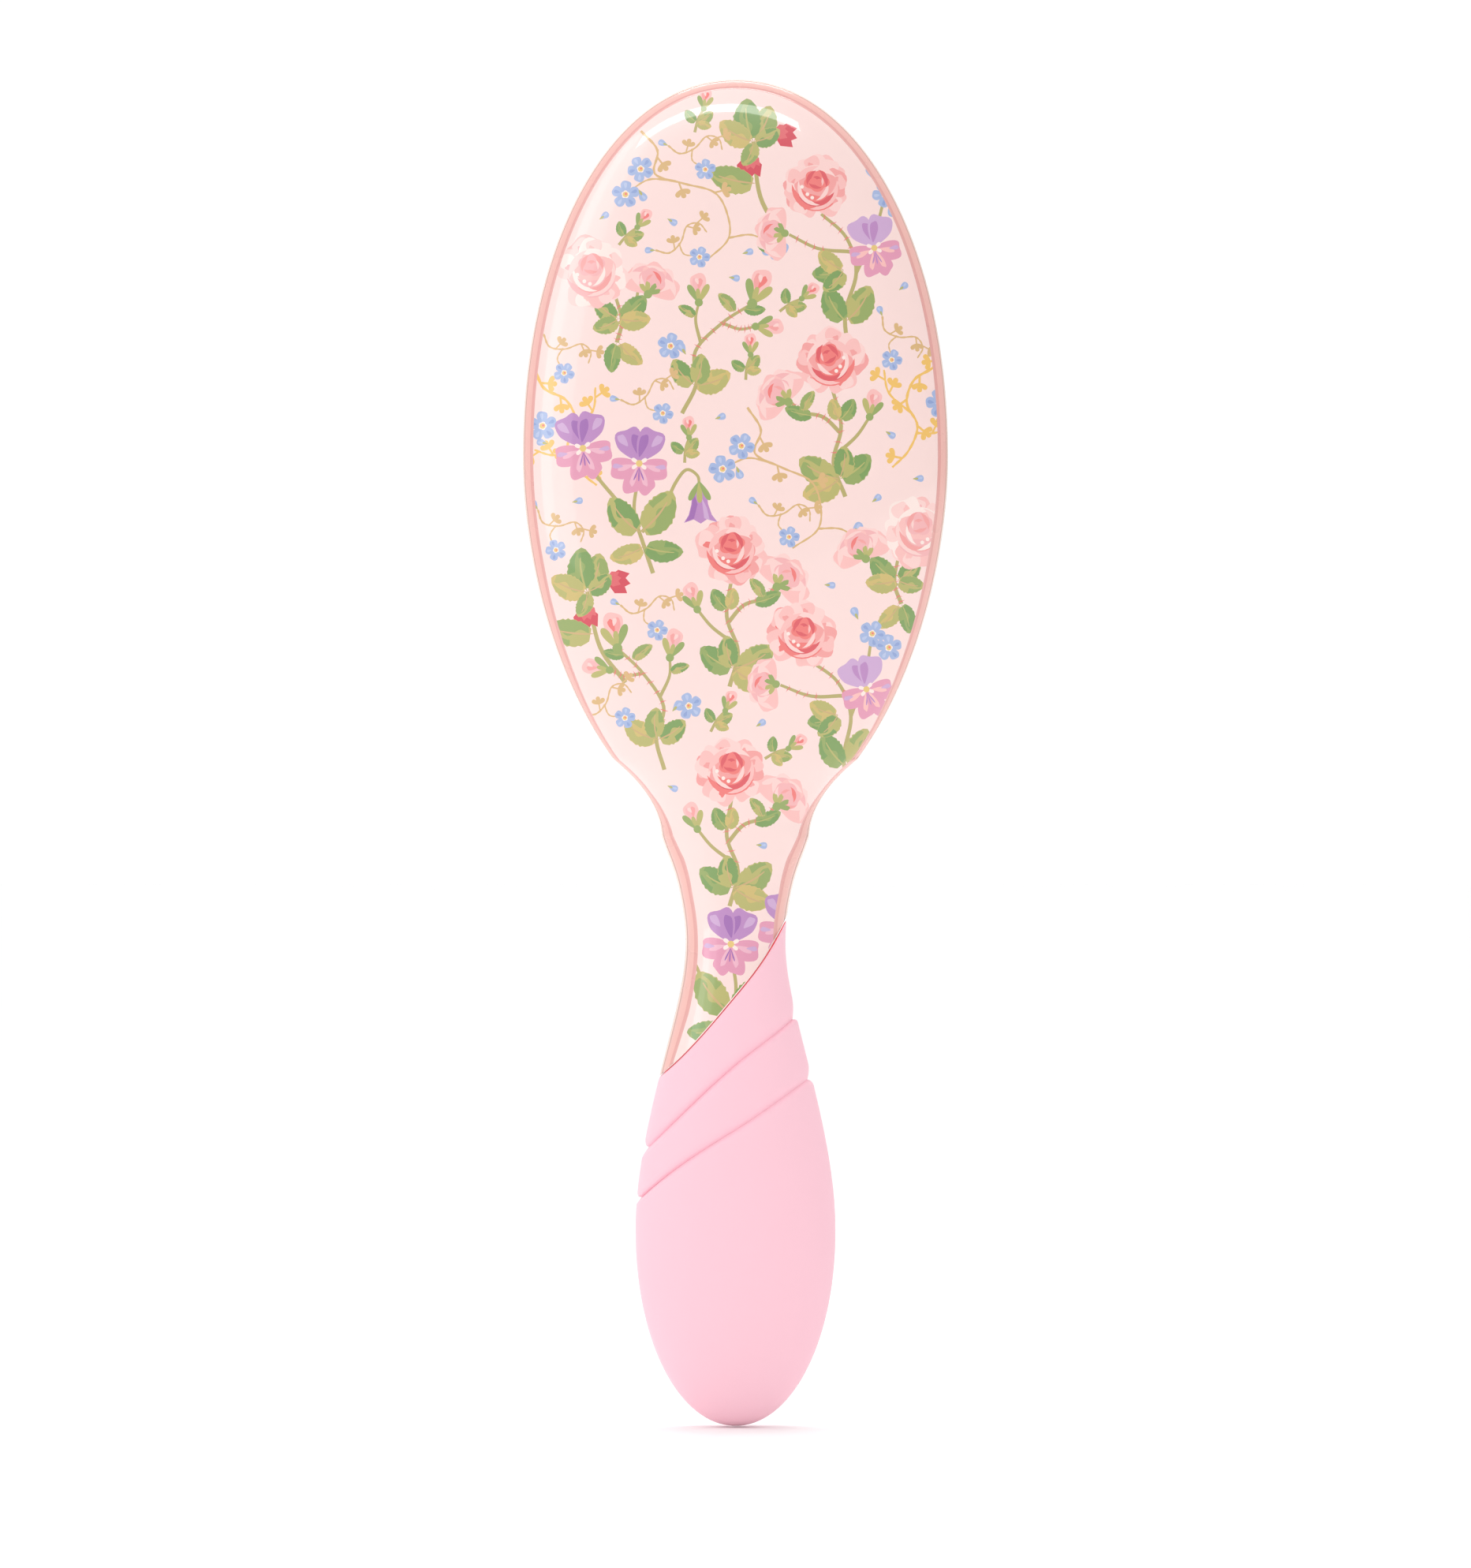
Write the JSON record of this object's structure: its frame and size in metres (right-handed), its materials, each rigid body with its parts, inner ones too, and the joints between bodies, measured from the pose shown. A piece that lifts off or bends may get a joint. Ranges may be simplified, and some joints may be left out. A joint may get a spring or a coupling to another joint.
{
  "type": "vanity hairbrush",
  "caption": "Detangling hairbrush with a domed floral back, an air cushion of ball-tipped bristles and a soft banded grip.",
  "frame": {"origin": "centre of the grip's widest section, on the plane where the two shells meet", "axes": "+Z along the brush from the grip to the tip of the head, +Y from the domed back to the bristles, X across the width"},
  "size_m": [0.072, 0.0385, 0.228],
  "materials": {
    "printed_gloss": "gloss lacquer over a floral print",
    "shell_gloss": "gloss moulded pink",
    "soft_grip": "matte soft touch",
    "cushion_rubber": "satin rubber",
    "hidden_plastic": "as moulded",
    "bristle_nylon": "translucent nylon"
  },
  "bodies": {
    "root": {"back_shell": "printed_gloss", "front_shell": "shell_gloss", "grip_sleeve": "soft_grip", "clamp_ring": "hidden_plastic"},
    "cushion_pad": {"cushion": "cushion_rubber"},
    "bristle_row_01": {"bristle_row_01": "bristle_nylon"},
    "bristle_row_02": {"bristle_row_02": "bristle_nylon"},
    "bristle_row_03": {"bristle_row_03": "bristle_nylon"},
    "bristle_row_04": {"bristle_row_04": "bristle_nylon"},
    "bristle_row_05": {"bristle_row_05": "bristle_nylon"},
    "bristle_row_06": {"bristle_row_06": "bristle_nylon"},
    "bristle_row_07": {"bristle_row_07": "bristle_nylon"},
    "bristle_row_08": {"bristle_row_08": "bristle_nylon"},
    "bristle_row_09": {"bristle_row_09": "bristle_nylon"},
    "bristle_row_10": {"bristle_row_10": "bristle_nylon"},
    "bristle_row_11": {"bristle_row_11": "bristle_nylon"},
    "bristle_row_12": {"bristle_row_12": "bristle_nylon"},
    "bristle_row_13": {"bristle_row_13": "bristle_nylon"},
    "bristle_row_14": {"bristle_row_14": "bristle_nylon"},
    "bristle_row_15": {"bristle_row_15": "bristle_nylon"},
    "bristle_row_16": {"bristle_row_16": "bristle_nylon"},
    "bristle_row_17": {"bristle_row_17": "bristle_nylon"}
  },
  "joints": [
    {"name": "cushion_press", "type": "slide", "parent": "root", "child": "cushion_pad", "axis": [0, -1, 0], "range_m": [0, 0.0035], "stiffness_N_per_m": 1500, "deforming": ["cushion"]},
    {"name": "row_tilt_01", "type": "hinge", "parent": "cushion_pad", "child": "bristle_row_01", "pos_m": [0, 0.00586, 0.0908], "axis": [1, 0, 0], "range_deg": [-10, 10], "stiffness_Nm_per_rad": 0.05},
    {"name": "row_tilt_02", "type": "hinge", "parent": "cushion_pad", "child": "bristle_row_02", "pos_m": [0, 0.00609, 0.0962], "axis": [1, 0, 0], "range_deg": [-10, 10], "stiffness_Nm_per_rad": 0.05},
    {"name": "row_tilt_03", "type": "hinge", "parent": "cushion_pad", "child": "bristle_row_03", "pos_m": [0, 0.00647, 0.1016], "axis": [1, 0, 0], "range_deg": [-10, 10], "stiffness_Nm_per_rad": 0.05},
    {"name": "row_tilt_04", "type": "hinge", "parent": "cushion_pad", "child": "bristle_row_04", "pos_m": [0, 0.00668, 0.107], "axis": [1, 0, 0], "range_deg": [-10, 10], "stiffness_Nm_per_rad": 0.05},
    {"name": "row_tilt_05", "type": "hinge", "parent": "cushion_pad", "child": "bristle_row_05", "pos_m": [0, 0.0068, 0.1124], "axis": [1, 0, 0], "range_deg": [-10, 10], "stiffness_Nm_per_rad": 0.05},
    {"name": "row_tilt_06", "type": "hinge", "parent": "cushion_pad", "child": "bristle_row_06", "pos_m": [0, 0.0074, 0.1178], "axis": [1, 0, 0], "range_deg": [-10, 10], "stiffness_Nm_per_rad": 0.05},
    {"name": "row_tilt_07", "type": "hinge", "parent": "cushion_pad", "child": "bristle_row_07", "pos_m": [0, 0.00734, 0.1232], "axis": [1, 0, 0], "range_deg": [-10, 10], "stiffness_Nm_per_rad": 0.05},
    {"name": "row_tilt_08", "type": "hinge", "parent": "cushion_pad", "child": "bristle_row_08", "pos_m": [0, 0.00711, 0.1286], "axis": [1, 0, 0], "range_deg": [-10, 10], "stiffness_Nm_per_rad": 0.05},
    {"name": "row_tilt_09", "type": "hinge", "parent": "cushion_pad", "child": "bristle_row_09", "pos_m": [0, 0.00752, 0.134], "axis": [1, 0, 0], "range_deg": [-10, 10], "stiffness_Nm_per_rad": 0.05},
    {"name": "row_tilt_10", "type": "hinge", "parent": "cushion_pad", "child": "bristle_row_10", "pos_m": [0, 0.00711, 0.1394], "axis": [1, 0, 0], "range_deg": [-10, 10], "stiffness_Nm_per_rad": 0.05},
    {"name": "row_tilt_11", "type": "hinge", "parent": "cushion_pad", "child": "bristle_row_11", "pos_m": [0, 0.00734, 0.1448], "axis": [1, 0, 0], "range_deg": [-10, 10], "stiffness_Nm_per_rad": 0.05},
    {"name": "row_tilt_12", "type": "hinge", "parent": "cushion_pad", "child": "bristle_row_12", "pos_m": [0, 0.0074, 0.1502], "axis": [1, 0, 0], "range_deg": [-10, 10], "stiffness_Nm_per_rad": 0.05},
    {"name": "row_tilt_13", "type": "hinge", "parent": "cushion_pad", "child": "bristle_row_13", "pos_m": [0, 0.0068, 0.1556], "axis": [1, 0, 0], "range_deg": [-10, 10], "stiffness_Nm_per_rad": 0.05},
    {"name": "row_tilt_14", "type": "hinge", "parent": "cushion_pad", "child": "bristle_row_14", "pos_m": [0, 0.00668, 0.161], "axis": [1, 0, 0], "range_deg": [-10, 10], "stiffness_Nm_per_rad": 0.05},
    {"name": "row_tilt_15", "type": "hinge", "parent": "cushion_pad", "child": "bristle_row_15", "pos_m": [0, 0.00647, 0.1664], "axis": [1, 0, 0], "range_deg": [-10, 10], "stiffness_Nm_per_rad": 0.05},
    {"name": "row_tilt_16", "type": "hinge", "parent": "cushion_pad", "child": "bristle_row_16", "pos_m": [0, 0.00609, 0.1718], "axis": [1, 0, 0], "range_deg": [-10, 10], "stiffness_Nm_per_rad": 0.05},
    {"name": "row_tilt_17", "type": "hinge", "parent": "cushion_pad", "child": "bristle_row_17", "pos_m": [0, 0.00586, 0.1772], "axis": [1, 0, 0], "range_deg": [-10, 10], "stiffness_Nm_per_rad": 0.05}
  ]
}
